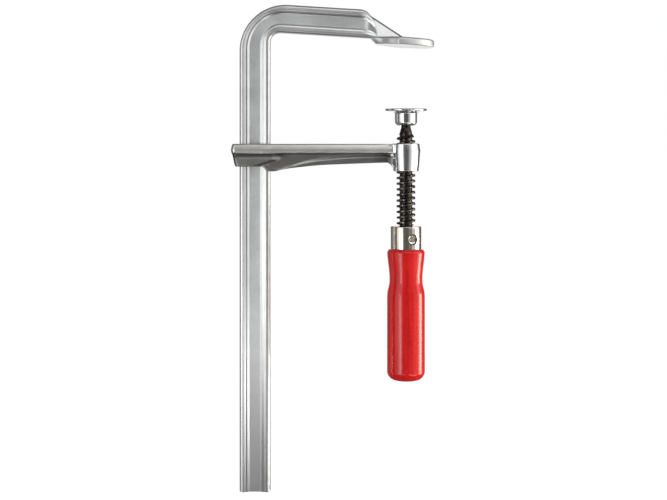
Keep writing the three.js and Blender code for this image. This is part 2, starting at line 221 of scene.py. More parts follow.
class Tree:
    """A node tree whose nodes are added by type, settings and sockets."""

    def __init__(self, tree):
        self.tree = tree

    def node(self, kind, settings=None, sockets=None, out=0):
        node = self.tree.nodes.new(kind)
        for name, value in (settings or {}).items():
            setattr(node, name, value)
        for name, value in (sockets or {}).items():
            self.feed(node.inputs[name], value)
        return Wire(self, node.outputs[out])

    def feed(self, socket, value):
        if isinstance(value, Wire):
            self.tree.links.new(value.socket, socket)
        else:
            socket.default_value = value

    def end(self, kind, wire):
        self.feed(self.tree.nodes.new(kind).inputs[0], wire)

    def math(self, operation, *values):
        return self.node("ShaderNodeMath", {"operation": operation}, dict(enumerate(values)))

    def vector(self, operation, a, b):
        return self.node("ShaderNodeVectorMath", {"operation": operation}, {0: a, 1: b})

    def scaled(self, vector, by):
        return self.node("ShaderNodeVectorMath", {"operation": "SCALE"}, {0: vector, "Scale": by})

    def split(self, vector):
        parts = self.node("ShaderNodeSeparateXYZ", None, {0: vector}).socket.node.outputs
        return [Wire(self, part) for part in parts]

    def point(self, x, y, z):
        return self.node("ShaderNodeCombineXYZ", None, {0: x, 1: y, 2: z})

    def length(self, a, b):
        return self.math("SQRT", a * a + b * b)


# Meshes from outlines

def linked(name, data):
    thing = bpy.data.objects.new(name, data)
    bpy.context.collection.objects.link(thing)
    return thing


def meshed(name, points, faces=()):
    mesh = bpy.data.meshes.new(name)
    mesh.from_pydata([tuple(point) for point in points], [], faces)
    return linked(name, mesh)


def discard(*pieces):
    for piece in pieces:
        bpy.data.objects.remove(piece)


def reskinned(piece, *others, merge=True, clean=False, fill=False):
    """Makes one skin of the piece and the others, with its faces pointing outwards."""
    work = bmesh.new()
    for source in (piece, *others):
        work.from_mesh(source.data)
    if merge:
        bmesh.ops.remove_doubles(work, verts=work.verts, dist=WELD)
    if clean:
        bmesh.ops.dissolve_degenerate(work, edges=work.edges, dist=WELD / 2)
    if fill:
        bmesh.ops.holes_fill(work, edges=work.edges)
    bmesh.ops.recalc_face_normals(work, faces=work.faces)
    work.to_mesh(piece.data)
    work.free()
    discard(*others)
    return piece


def lofted(name, rings):
    """A closed skin through rings of one point count. Each end is a fan about its middle."""
    count = len(rings[0])
    rings = [[np.mean(rings[0], axis=0)] * count, *rings, [np.mean(rings[-1], axis=0)] * count]
    faces = []
    for k in range(len(rings) - 1):
        for i in range(count):
            j = (i + 1) % count
            faces.append((k * count + i, k * count + j, (k + 1) * count + j, (k + 1) * count + i))
    points = [point for ring in rings for point in ring]
    return reskinned(meshed(name, points, faces), clean=True)


def turned(name, profile, steps=ROUND_STEPS, loop=False):
    """A turned body on +Z from (radius, height) points, which start and end on the axis or close."""
    points = []
    for k in range(steps):
        angle = tau * k / steps
        points += [(r * cos(angle), r * sin(angle), z) for r, z in profile]
    count = len(profile)
    faces = []
    for k in range(steps):
        here, there = k * count, (k + 1) % steps * count
        for i in range(count if loop else count - 1):
            j = (i + 1) % count
            faces.append((here + i, there + i, there + j, here + j))
    return reskinned(meshed(name, points, faces), clean=True)


def arc(centre, radius, start, end, steps):
    angles = np.linspace(start, end, steps + 1)
    return [(centre[0] + radius * cos(a), centre[1] + radius * sin(a)) for a in angles]


def rounded(points, radius, closed=True, steps=CORNER_STEPS, most=0.49):
    """The outline with rounded corners: one radius or one each, and at most that share of an edge."""
    points = [np.array(point, float) for point in points]
    radii = [radius] * len(points) if np.isscalar(radius) else radius
    result = []
    for i, corner in enumerate(points):
        if radii[i] == 0 or not closed and i in (0, len(points) - 1):
            result.append(tuple(corner))
            continue
        back = points[i - 1] - corner
        ahead = points[(i + 1) % len(points)] - corner
        room = min(norm(back), norm(ahead)) * most
        back /= norm(back)
        ahead /= norm(ahead)
        half = acos(np.clip(np.dot(back, ahead), -1, 1)) / 2
        if half > pi / 2 - STRAIGHT:
            result.append(tuple(corner))
            continue
        reach = min(radii[i] / tan(half), room)
        size = reach * tan(half)
        centre = corner + (back + ahead) / norm(back + ahead) * size / sin(half)
        start = corner + back * reach - centre
        end = corner + ahead * reach - centre
        sweep = pi - 2 * half
        for k in range(steps + 1):
            share = k / steps
            turn = start * sin((1 - share) * sweep) + end * sin(share * sweep)
            result.append(tuple(centre + turn / sin(sweep)))
    return result


def smoothed(rows, count):
    """count rows on a smooth curve through rows. It is even where they are and never overshoots."""
    table = np.array(rows, float)
    at, values = table[:, 0], table[:, 1:]
    step = np.diff(at)[:, None]
    slope = np.diff(values, axis=0) / step
    with np.errstate(divide="ignore", invalid="ignore"):
        middle = 2 * slope[:-1] * slope[1:] / (slope[:-1] + slope[1:])
    middle = np.where(slope[:-1] * slope[1:] > 0, middle, 0)
    tangent = np.vstack([slope[:1], middle, slope[-1:]])
    result = []
    for place in np.linspace(at[0], at[-1], count):
        k = min(max(np.searchsorted(at, place) - 1, 0), len(at) - 2)
        wide = at[k + 1] - at[k]
        t = (place - at[k]) / wide
        share = t * t * (3 - 2 * t)
        bow = t * (t - 1) * wide * ((t - 1) * tangent[k] + t * tangent[k + 1])
        result.append([place, *((1 - share) * values[k] + share * values[k + 1] + bow)])
    return result


def settle(piece):
    """Puts what the modifiers make into the piece's own mesh and removes them."""
    made = bpy.data.meshes.new_from_object(piece.evaluated_get(bpy.context.evaluated_depsgraph_get()))
    piece.modifiers.clear()
    piece.data = made
    return piece


def combined(piece, operation, *tools):
    """The piece joined with the tools, or cut by them."""
    for tool in tools:
        modifier = piece.modifiers.new("combine", "BOOLEAN")
        modifier.operation = operation
        modifier.solver = "MANIFOLD"
        modifier.object = tool
    settle(piece)
    discard(*tools)
    return piece


# Trees of Geometry Nodes

KINDS = {float: "Float", int: "Int", bpy.types.Object: "Object", bpy.types.Material: "Material"}


class Growth(Tree):
    """A Geometry Nodes tree with a named input for each value that it is given."""

    def __init__(self, name, values):
        super().__init__(bpy.data.node_groups.new(name, "GeometryNodeTree"))
        sockets = self.tree.interface
        for each, value in values.items():
            sockets.new_socket(name=each, socket_type="NodeSocket" + KINDS[type(value)])
        sockets.new_socket(name="mesh", in_out="OUTPUT", socket_type="NodeSocketGeometry")
        outputs = self.tree.nodes.new("NodeGroupInput").outputs
        self.given = {each: Wire(self, outputs[each]) for each in values}

    def worked(self, kind, shape, **sockets):
        """The shape after a node of that kind."""
        return self.node("GeometryNode" + kind, None, {"Geometry": shape, **sockets})

    def grid(self, columns, rows):
        """A grid, and the column and row of each of its points."""
        grid = self.node("GeometryNodeMeshGrid", None, {"Vertices X": columns, "Vertices Y": rows})
        index = self.node("GeometryNodeInputIndex")
        return grid, self.math("FLOOR", index / rows), index % rows

    def sampled(self, thing, index, name=None):
        """A vector of the thing's point at index: its place, or the attribute of that name."""
        shape = self.node("GeometryNodeObjectInfo", None, {"Object": thing}, "Geometry")
        value = self.node("GeometryNodeInputPosition")
        vectors = {"data_type": "FLOAT_VECTOR"}
        if name:
            value = self.node("GeometryNodeInputNamedAttribute", vectors, {"Name": name})
        return self.node(
            "GeometryNodeSampleIndex", vectors, {"Geometry": shape, "Value": value, "Index": index},
        )


def grown(name, build, material, **values):
    """The plain mesh that the build's tree makes of these values, with seams and poles merged."""
    values["material"] = material
    tree = Growth(name, values)
    shape = tree.worked("MergeByDistance", build(tree, **tree.given), Distance=WELD)
    shape = tree.worked("RealizeInstances", tree.worked("SetShadeSmooth", shape))
    shape = tree.worked("SetMaterial", shape, Material=tree.given["material"])
    tree.end("NodeGroupOutput", shape)
    piece = meshed(name, [])
    modifier = piece.modifiers.new("growth", "NODES")
    modifier.node_group = tree.tree
    for item in tree.tree.interface.items_tree:
        if item.in_out == "INPUT":
            modifier[item.identifier] = values[item.name]
    return settle(piece)


def swept_bar(tree, dip_depth, stations, spots, guides, section, **_):
    """A bar between two guide lines: the section's across share, side and dip at each station."""
    grid, station, spot = tree.grid(stations, spots + 1)
    outer = tree.sampled(guides, station)
    inner = tree.sampled(guides, station, "inner")
    groove, spread, _ = tree.split(tree.sampled(guides, station, "form"))
    across, side, dip = tree.split(tree.sampled(section, spot % spots))
    middle = tree.scaled(tree.vector("ADD", outer, inner), 0.5)
    half = tree.scaled(tree.vector("SUBTRACT", outer, inner), across * spread * 0.5)
    lift = tree.point(0, (side - dip * dip_depth * groove) * spread, 0)
    place = tree.vector("ADD", tree.vector("ADD", middle, half), lift)
    bar = tree.worked("SetPosition", grid, Position=place)
    edge = GROOVE_SHARES[0][0]
    inside = abs(across).ease(edge, edge * GROOVE_EDGE_SHARE)
    return tree.worked("StoreNamedAttribute", bar, Name="groove", Value=inside)


def screw_thread(
    tree, pitch, root, crest, land, base, low, high, low_run, high_run, ridge, steps, rows, turns, **_,
):
    """One skin round a threaded rod. The grid's rows follow the helix, so its edges lie on the crests."""
    grid, step, row = tree.grid(steps + 1, rows * turns)
    turn = step / steps
    height = ridge + pitch * (row / rows + turn - 1)
    off = abs((row / rows + 0.5) % 1.0 - 0.5) * pitch
    fade = ((height - low) / low_run).least((high - height) / high_run)
    radius = root + (crest - root) * off.ease(land / 2, base / 2, 1.0, 0.0).least(fade).most(0.0)
    angle = turn * tau
    place = tree.point(
        radius * tree.math("COSINE", angle), radius * tree.math("SINE", angle), height.least(high).most(low),
    )
    return tree.worked("SetPosition", grid, Position=place)


def split_ring(tree, radius, wire, height, slot_angle, steps, sides, **_):
    """A wire bent round a circle, with a slot left open."""
    bow = tree.node("GeometryNodeCurveArc", {"mode": "RADIUS"}, {
        "Resolution": steps, "Radius": radius,
        "Start Angle": slot_angle / 2, "Sweep Angle": tau - slot_angle,
    })
    section = tree.node("GeometryNodeCurvePrimitiveCircle", None, {"Resolution": sides, "Radius": wire})
    ring = tree.node(
        "GeometryNodeCurveToMesh", None, {"Curve": bow, "Profile Curve": section, "Fill Caps": True},
    )
    return tree.worked("Transform", ring, Translation=tree.point(0, 0, height))


# Rail, bend, fixed arm, jaw pad and its gusset: one bar

# Half of the groove, from its land to the web: shares of the half width and of the depth
GROOVE_SHARES = [(0.735, 0), (0.575, 0.46), (0.49, 0.52), (0.345, 1)]
GROOVE_EDGE_SHARE = 0.96
RIB_CREST_SHARE = 0.47
# Nose rows: share of its length, of the groove's depth and of the fall to the pad
NOSE_SHARES = [
    (0, 1, 0), (0.22, 1, 0), (0.32, 0.97, 0.02), (0.42, 0.82, 0.05), (0.58, 0.5, 0.16), (0.72, 0.36, 0.3),
    (0.84, 0.28, 0.48), (0.92, 0.2, 0.7), (0.97, 0.08, 0.88),
]
# Half of the pad's plan, from its neck to its tip: shares of the reach and of the half width
PAD_SHARES = [
    (0, 0.27), (0.03, 0.36), (0.09, 0.5), (0.185, 0.72), (0.3, 0.9), (0.375, 1), (0.495, 0.975), (0.655, 0.9),
    (0.795, 0.785), (0.91, 0.6), (0.977, 0.36), (1, 0.12),
]
PAD_STATIONS = 56
BEND_STATIONS = 48
NOSE_STATIONS = 28
END_CHAMFER_SHARE = 0.95
FOOT_CHAMFER = 0.5 * MM
ARM_OVER = ARM_LIFT + ARM_HEIGHT
ALONG = Vector((cos(DROOP), 0, -sin(DROOP)))
ABOVE = Vector((sin(DROOP), 0, cos(DROOP)))
ACROSS = Vector((0, 1, 0))


def jaw_point(u, v, w=0.0):
    """u along the fixed arm, v off the jaw's face, w across."""
    return ALONG * u + ABOVE * v + ACROSS * w


def bend_point(edge_x, edge_v, radius, angle):
    x = edge_x + radius
    z = (edge_v - radius - x * sin(DROOP)) / cos(DROOP)
    return Vector((x + radius * cos(angle), 0, z + radius * sin(angle)))


def bar_section():
    """The rolled section: across share, side and dip of each point, with every corner rounded."""
    half, face = RAIL_WIDTH / 2, RAIL_THICKNESS / 2
    quarter = [(half, face)] + [(half * across, face - GROOVE_DEPTH * dip) for across, dip in GROOVE_SHARES]
    radii = [RAIL_EDGE] + [GROOVE_ROUND] * len(GROOVE_SHARES)
    top = quarter + [(-x, y) for x, y in reversed(quarter)]
    corners = top + [(x, -y) for x, y in reversed(top)]
    outline = rounded(corners, (radii + radii[::-1]) * 2, most=0.75)
    section = []
    for x, y in outline:
        in_groove = abs(x) < half * GROOVE_SHARES[0][0] and abs(y) > face - GROOVE_DEPTH * 1.01
        side = copysign(face, y) if in_groove else y
        section.append((x / half, side, (side - y) / GROOVE_DEPTH if in_groove else 0))
    return section


def bar_stations():
    """Outer edge, inner edge, groove and spread at each station from the rail's foot to the nose."""
    foot = (Vector((RAIL_OUTER_X, 0, -RAIL_DROP)), Vector((RAIL_INNER_X, 0, -RAIL_DROP)))
    raised = [point + Vector((0, 0, FOOT_CHAMFER)) for point in foot]
    stations = [(*foot, 1, 0), (*foot, 1, END_CHAMFER_SHARE), (*raised, 1, 1)]
    for angle in np.linspace(pi, pi / 2 - DROOP, BEND_STATIONS):
        stations.append((
            bend_point(RAIL_OUTER_X, ARM_OVER, BEND_OUTER, angle),
            bend_point(RAIL_INNER_X, ARM_LIFT, BEND_INNER, angle), 1, 1,
        ))
    for share, groove, fall in smoothed(NOSE_SHARES, NOSE_STATIONS):
        u = NOSE_LENGTH * (share - 1) - NOSE_END
        over = ARM_OVER - (ARM_OVER - PAD_THICKNESS) * fall
        stations.append((jaw_point(u, over), jaw_point(u, ARM_LIFT), groove, 1))
    return stations + [(*stations[-1][:3], 0)]


def guide_lines(stations):
    """The outer edge's points, each with a note of its inner point and of its form."""
    guides = meshed("guides", [outer for outer, *_ in stations])
    notes = {
        "inner": [inner for _, inner, *_ in stations],
        "form": [(groove, spread, 0) for *_, groove, spread in stations],
    }
    for name, rows in notes.items():
        note = guides.data.attributes.new(name, "FLOAT_VECTOR", "POINT")
        note.data.foreach_set("vector", [value for row in rows for value in row])
    return guides


def pad_outline(inset, undercut):
    """The pad's plan: a shield that widens from the neck and rounds in to the tip."""
    left = PAD_UNDERCUT - PAD_NECK
    reach = PAD_TIP - left
    side = []
    for _, along, half in smoothed([(k, *row) for k, row in enumerate(PAD_SHARES)], PAD_STATIONS):
        shift = (undercut - PAD_UNDERCUT) * max(0, 1 - along / PAD_SHARES[2][0])
        side.append((left + reach * along + shift, PAD_WIDTH / 2 * half))
    slope = np.gradient(np.array(side), axis=0)
    normal = np.column_stack([-slope[:, 1], slope[:, 0]])
    normal /= norm(normal, axis=1)[:, None]
    side = [(u - inset * n[0], w - inset * n[1]) for (u, w), n in zip(side, normal)]
    return side + [(u, -w) for u, w in reversed(side)]


def jaw_pad():
    lower = []
    for turn in np.linspace(0, pi / 2, CORNER_STEPS):
        inset, rise = PAD_EDGE * (1 - sin(turn)), PAD_EDGE * (1 - cos(turn))
        lower.append((inset, PAD_UNDERCUT - rise, rise))
    wall = PAD_THICKNESS - PAD_EDGE - PAD_TOP_EDGE
    under = PAD_UNDERCUT - PAD_EDGE
    middle = [(0, under * (1 - share), PAD_EDGE + wall * share) for share in (0.25, 0.5, 0.75)]
    grow = PAD_TOP_EDGE / PAD_EDGE
    upper = [(inset * grow, 0, PAD_THICKNESS - rise * grow) for inset, _, rise in reversed(lower)]
    return lofted("jaw_pad", [
        [jaw_point(u, v, w) for u, w in pad_outline(inset, undercut)]
        for inset, undercut, v in lower + middle + upper
    ])


def jaw_gusset():
    foot = (ARM_LIFT + PAD_THICKNESS) / 2
    low = (foot + PAD_THICKNESS) / 2
    slope = (RIB_START - RIB_END) / (RIB_TOP - PAD_THICKNESS)
    flare = (RIB_FOOT - RIB_THICKNESS) / 2 / (RIB_TOP - foot)
    crest = RIB_THICKNESS * RIB_CREST_SHARE
    half = RIB_THICKNESS / 2
    tip = (PAD_THICKNESS - low) * slope - RIB_END
    rings = []
    for u, peak in ((-RIB_START, RIB_TOP), (-RIB_END, PAD_THICKNESS), (tip, low)):
        base = half + flare * (peak - foot)
        corners = [(-base, foot), (base, foot), (half, peak), (-half, peak)]
        rings.append([jaw_point(u, v, w) for w, v in rounded(corners, [0, 0, crest, crest])])
    return lofted("jaw_gusset", rings)


def profiled_rail(material):
    stations, points = bar_stations(), bar_section()
    guides, section = guide_lines(stations), meshed("section", points)
    bar = grown(
        "profiled_rail", swept_bar, material, dip_depth=GROOVE_DEPTH, stations=len(stations),
        spots=len(points), guides=guides, section=section,
    )
    discard(guides, section)
    return combined(bar, "UNION", jaw_pad(), jaw_gusset())


# Sliding arm and its threaded boss

# Cheek rows: share of their drop, of the waist, of the heel's step and, at the spindle's end, of the throat
CHEEK_SHARES = [
    (0.33, 1, 0, 0.905), (0.47, 1.1, 0.5, 0.905), (0.53, 1.05, 0.6, 0.905), (0.61, 0.3, 0.8, 0.908),
    (0.68, 0, 0.92, 0.915), (0.96, 0, 1.5, 1.05), (1, 0.6, 1.7, 1.06),
]
# Keel rows: place from rail to spindle, then web width, keel width, ridge and underside as shares
KEEL_SHARES = [
    (-0.06, 1, 1, 0.7, 0.8), (-0.018, 1, 1, 0.8, 0.985), (0.022, 0.95, 0.9, 0.88, 0.99),
    (0.075, 0.8, 0.62, 0.91, 0.94), (0.13, 0.6, 0.36, 0.83, 0.89), (0.215, 0.36, 0.18, 0.715, 0.84),
    (0.3, 0.2, 0.09, 0.63, 0.795), (0.39, 0.09, 0.04, 0.575, 0.76), (0.55, 0, 0, 0.5, 0.728),
    (0.7, 0, 0, 0.465, 0.7), (0.865, 0, 0.02, 0.45, 0.678), (0.885, 0.12, 0.22, 0.47, 0.74),
    (0.905, 0.3, 0.4, 0.5, 0.87), (0.93, 0.3, 0.4, 0.5, 0.9),
]
BAND_CROWN = 0.9 * MM
BAND_CREST_SHARE = 0.62
CROWN_SLANT = 0.7
CROWN_BOW = 0.3
# The painted highlight line along the keel's ridge: its width, and its strength at places along the arm
RIDGE_HIGHLIGHT_WIDTH = 0.7 * MM
RIDGE_HIGHLIGHT_PLACES = (0.0, 0.05, 0.12, 0.35, 0.6, 0.85)
RIDGE_HIGHLIGHT_SHARES = (0.0, 0.15, 0.7, 0.6, 0.3, 0.0)
CHEEK_STATIONS = 40
KEEL_STATIONS = 90
SMOOTHING_ROUNDS = 5


def plan_outline(left, half, *rest):
    """A plan that is the same on both sides: a rounded heel, then the points given."""
    heel = arc((left + HEEL_CORNER, half - HEEL_CORNER), HEEL_CORNER, pi, pi / 2, 10)
    side = heel + list(rest)
    return side + [(x, -y) for x, y in reversed(side)]


def boss_fillet(half):
    """The arc from a flank that far out into the round boss."""
    middle = half + BOSS_FILLET
    back = sqrt((BOSS_RADIUS + BOSS_FILLET) ** 2 - middle ** 2)
    turn = atan2(back, middle)
    return arc((-back, middle), BOSS_FILLET, -pi / 2, turn - pi / 2, 8)


def arm_band():
    """The upper band, its sides crowned: narrower at its top than a little over half way down."""
    levels = [(ARM_EDGE + BAND_CROWN, 0)]
    for share in np.linspace(0, 1, 10):
        off = abs(share - BAND_CREST_SHARE) / BAND_CREST_SHARE
        inset = BAND_CROWN * off * (CROWN_SLANT + CROWN_BOW * off)
        levels.append((inset, ARM_EDGE + (BAND_HEIGHT - ARM_EDGE) * share))
    end_half = BAND_END_WIDTH / 2
    return lofted("arm_band", [
        [Vector((x, y, ARM_TOP - drop)) for x, y in plan_outline(
            HEEL_X + inset, BAND_WIDTH / 2 - inset, *boss_fillet(end_half - inset),
            (-ROOT_RADIUS, end_half - inset))]
        for inset, drop in levels
    ])


def arm_cheeks():
    rings = []
    for down, waist, step, reach in smoothed(CHEEK_SHARES, CHEEK_STATIONS):
        half = BAND_WIDTH / 2 - CHEEK_WAIST * waist
        shoulder = -THROAT * reach
        outline = plan_outline(
            HEEL_X + CHEEK_STEP * step, half, (shoulder - CHEEK_TAPER, half), (shoulder, half - CHEEK_FALL))
        rings.append([Vector((x, y, ARM_TOP - CHEEK_HEIGHT * down)) for x, y in outline])
    return lofted("arm_cheeks", rings)


def arm_keel():
    top, shade = ARM_TOP - BAND_HEIGHT / 2, ARM_TOP - BAND_HEIGHT
    rings = []
    for place, web, keel, ridge, depth in smoothed(KEEL_SHARES, KEEL_STATIONS):
        web_half = (WEB_WIDTH + (KNEE_WIDTH - WEB_WIDTH) * web) / 2
        keel_half = (KEEL_WIDTH + (KNEE_WIDTH - KEEL_WIDTH) * keel) / 2
        ridge_z = ARM_TOP - KNEE_DEPTH * ridge
        foot = ARM_TOP - KNEE_DEPTH * depth
        hollow = min(COVE_RADIUS, (shade - ridge_z) / 3)
        half = [
            (web_half + hollow, top), (web_half + hollow, shade), (web_half, shade - hollow),
            (web_half, ridge_z + hollow), (keel_half - ARM_EDGE / 2, ridge_z),
            (keel_half, ridge_z - ARM_EDGE / 2), (keel_half, min(foot + ARM_EDGE, ridge_z - ARM_EDGE)),
            (keel_half - ARM_EDGE, foot),
        ]
        outline = half + [(-y, z) for y, z in reversed(half)]
        rings.append([Vector((-THROAT + THROAT * place, y, z)) for y, z in outline])
    return lofted("arm_keel", rings)


def arm_boss():
    profile = rounded([
        (0, BOSS_FOOT), (BOSS_FOOT_RADIUS, BOSS_FOOT), (BOSS_RADIUS, BOSS_TOP - BOSS_BELLY),
        (BOSS_TOP_RADIUS, BOSS_TOP), (0, BOSS_TOP),
    ], [0, BOSS_EDGE, BOSS_BELLY, BOSS_EDGE, 0], closed=False, steps=8)
    return turned("arm_boss", profile)


def softened(piece):
    """The piece remade as one even skin, with the small rounds that a forging has."""
    remesh = piece.modifiers.new("even_skin", "REMESH")
    remesh.mode = "VOXEL"
    remesh.voxel_size = FORGING_VOXEL
    remesh.use_smooth_shade = True
    piece.modifiers.new("small_rounds", "SMOOTH").iterations = SMOOTHING_ROUNDS
    return settle(piece)


def mark_ridge_highlight(arm):
    """Notes on each vertex how near it is to the keel's ridge, along which a highlight line is painted."""
    rows = np.array(smoothed(KEEL_SHARES, KEEL_STATIONS))
    count = len(arm.data.vertices)
    spots = np.empty(count * 3)
    arm.data.vertices.foreach_get("co", spots)
    x, y, z = spots.reshape(-1, 3).T
    place = x / THROAT + 1
    ridge_z = ARM_TOP - KNEE_DEPTH * np.interp(place, rows[:, 0], rows[:, 3])
    near = np.exp(-((z - ridge_z) / RIDGE_HIGHLIGHT_WIDTH) ** 2) * (np.abs(y) > WEB_WIDTH / 2)
    strength = np.interp(place, RIDGE_HIGHLIGHT_PLACES, RIDGE_HIGHLIGHT_SHARES)
    mark = arm.data.attributes.new("ridge", "FLOAT", "POINT")
    mark.data.foreach_set("value", near * strength)


def threaded(name, material, low, high, low_run, high_run, play=0.0, spread=0.0):
    """A threaded rod that runs out at its ends. Play and spread make it a nut's cutter."""
    return grown(
        name, screw_thread, material, pitch=PITCH, root=ROOT_RADIUS + play, crest=THREAD_RADIUS + play,
        land=CREST_LAND + spread, base=RIDGE_BASE + spread, low=low, high=high, low_run=low_run,
        high_run=high_run, ridge=FERRULE_TOP - PITCH, steps=SCREW_STEPS, rows=SCREW_ROWS, turns=SCREW_TURNS,
    )


def forged_arm(material):
    arm = softened(combined(arm_band(), "UNION", arm_cheeks(), arm_keel()))
    arm.name = "forged_arm"
    left, right = RAIL_OUTER_X - SLIDE_FIT, RAIL_INNER_X + SLIDE_FIT
    half = RAIL_THICKNESS / 2 + SLIDE_FIT
    corners = [(left, -half), (right, -half), (right, half), (left, half)]
    window = lofted("window", [
        [Vector((x, y, z)) for x, y in corners] for z in (BOSS_FOOT - OVERRUN, ARM_TOP + OVERRUN)
    ])
    combined(arm, "UNION", arm_boss())
    cutter = threaded(
        "cutter", material, BOSS_FOOT - OVERRUN, BOSS_TOP + OVERRUN, FIT, FIT, THREAD_FIT, FIT * 2,
    )
    combined(arm, "DIFFERENCE", window, reskinned(cutter, merge=False, fill=True))
    mark_ridge_highlight(arm)
    return arm


# Spindle, pressure plate and ring

SCREW_STEPS = 72
SCREW_ROWS = 20
SCREW_TURNS = 20
PIN_STEPS = 48
DIMPLE_STEPS = 64
RIM_ROUND_SHARE = 0.45


def laid_on_pin(piece, out, turn):
    """Turns an upright piece to the pin's line, with its middle that far out in front."""
    place = Matrix.Rotation(PIN_ANGLE, 4, "Z") @ Matrix.Translation((0, -out, PIN_Z))
    piece.data.transform(place @ Matrix.Rotation(turn, 4, "X"))
    return piece


def pin_rod(name, radius, length, dome=0.0):
    """A rod through the ferrule, with a chamfer of dome at its ends."""
    half = length / 2
    rod = turned(name, [
        (0, -half), (radius - dome, -half), (radius, dome - half), (radius, half - dome),
        (radius - dome, half), (0, half),
    ], steps=PIN_STEPS)
    return laid_on_pin(rod, 0, pi / 2)


def screw_spindle(material):
    low_run = (THREAD_RADIUS - ROOT_RADIUS) / 2
    thread = threaded("screw_spindle", material, THREAD_LOW, THREAD_HIGH, low_run, RUN_OUT)
    neck_angle = asin(NECK_RADIUS / BALL_RADIUS)
    ball = arc((0, BALL_CENTRE), BALL_RADIUS, pi / 2, neck_angle - pi / 2, 28)
    ball[0] = (0, BALL_CENTRE + BALL_RADIUS)
    neck = rounded(
        [*ball, (NECK_RADIUS, THREAD_HIGH + NECK_TAPER), (ROOT_RADIUS, THREAD_HIGH)],
        [0] * (len(ball) - 1) + [FIT, PITCH, 0], closed=False,
    )
    tang = [
        (ROOT_RADIUS, THREAD_LOW), (ROOT_RADIUS, TANG_END + TANG_EDGE),
        (ROOT_RADIUS - TANG_EDGE, TANG_END), (0, TANG_END),
    ]
    ends = [turned("end", profile, steps=SCREW_STEPS) for profile in (neck, tang)]
    hole = pin_rod("hole", PIN_RADIUS + FIT, FERRULE_RADIUS * 2)
    return combined(reskinned(thread, *ends), "DIFFERENCE", hole)


def pressure_pad():
    """The round plate and its cup. The pocket's walls are centred on the ball."""
    foot = PLATE_FACE - CUP_DEPTH
    under = PLATE_FACE - PLATE_THICKNESS
    rim = PLATE_RIM * RIM_ROUND_SHARE
    outside = turned("pressure_pad", rounded([
        (0, PLATE_FACE), (PLATE_RADIUS, PLATE_FACE), (PLATE_RADIUS, PLATE_FACE - PLATE_RIM),
        (CUP_RADIUS + PLATE_THICKNESS, under), (CUP_RADIUS, under - PLATE_RIM / 2),
        (CUP_RADIUS, foot), (0, foot),
    ], [0, rim, rim, CUP_CORNER / 2, CUP_CORNER / 2, CUP_CORNER, 0], closed=False, steps=8))
    pocket_radius = BALL_RADIUS + BALL_FIT
    chamber = hypot(RING_RADIUS, RING_DROP) + WIRE_RADIUS + BALL_FIT
    mouth = -acos(MOUTH_RADIUS / chamber)
    flare = MOUTH_RADIUS + MOUTH_FLARE
    dome = arc((0, BALL_CENTRE), pocket_radius, pi / 2, -POCKET_STEP, 18)
    dome[0] = (0, BALL_CENTRE + pocket_radius)
    pocket = turned("pocket", [
        *dome, *arc((0, BALL_CENTRE), chamber, -POCKET_STEP, mouth, 8),
        (flare, foot), (flare, foot - OVERRUN), (0, foot - OVERRUN),
    ])
    return combined(outside, "DIFFERENCE", pocket)


def wire_ring(material):
    return grown(
        "wire_ring", split_ring, material, radius=RING_RADIUS, wire=WIRE_RADIUS,
        height=BALL_CENTRE - RING_DROP, slot_angle=RING_SLOT / RING_RADIUS, steps=64, sides=14,
    )


# Ferrule, pin and handle

# The grip's outline: shares of the handle's length, and of shoulder to waist and waist to grip
GRIP_SHARES = [
    (0.02, 0, 0), (0.06, 0.1, 0), (0.1, 0.35, 0), (0.16, 0.75, 0), (0.215, 1, 0), (0.25, 1, 0),
    (0.285, 1, 0.3), (0.33, 1, 0.85), (0.37, 1, 1),
]
GRIP_ROWS = 48
SHOULDER_ROWS = 8


def ferrule_sleeve():
    bore = ROOT_RADIUS + FIT
    inner = FERRULE_RADIUS - FERRULE_WALL
    roof = FERRULE_TOP - FERRULE_ROOF
    edge = FERRULE_EDGE
    sleeve = turned("ferrule_sleeve", rounded([
        (bore, FERRULE_TOP), (FERRULE_RADIUS, FERRULE_TOP), (FERRULE_RADIUS, FERRULE_FOOT),
        (inner, FERRULE_FOOT), (inner, roof), (bore, roof),
    ], [edge / 2, edge, edge / 4, edge / 4, 0, edge / 2]), loop=True)
    half = DIMPLE_DEPTH / 2
    dimple = turned("dimple", [
        (0, -half - OVERRUN), (DIMPLE_RADIUS, -half - OVERRUN), (DIMPLE_RADIUS, -half),
        (DIMPLE_RADIUS - DIMPLE_RIM, half * 0.1), (PIN_RADIUS + PRESS_FIT, half), (0, half),
    ], steps=DIMPLE_STEPS)
    laid_on_pin(dimple, FERRULE_RADIUS - half, -pi / 2)
    hole = pin_rod("hole", PIN_RADIUS + PRESS_FIT, FERRULE_RADIUS * 2 + OVERRUN)
    return combined(sleeve, "DIFFERENCE", dimple, hole)


def rivet_pin():
    return pin_rod("rivet_pin", PIN_RADIUS, (FERRULE_RADIUS - DIMPLE_DEPTH / 2) * 2, dome=PIN_RADIUS / 5)


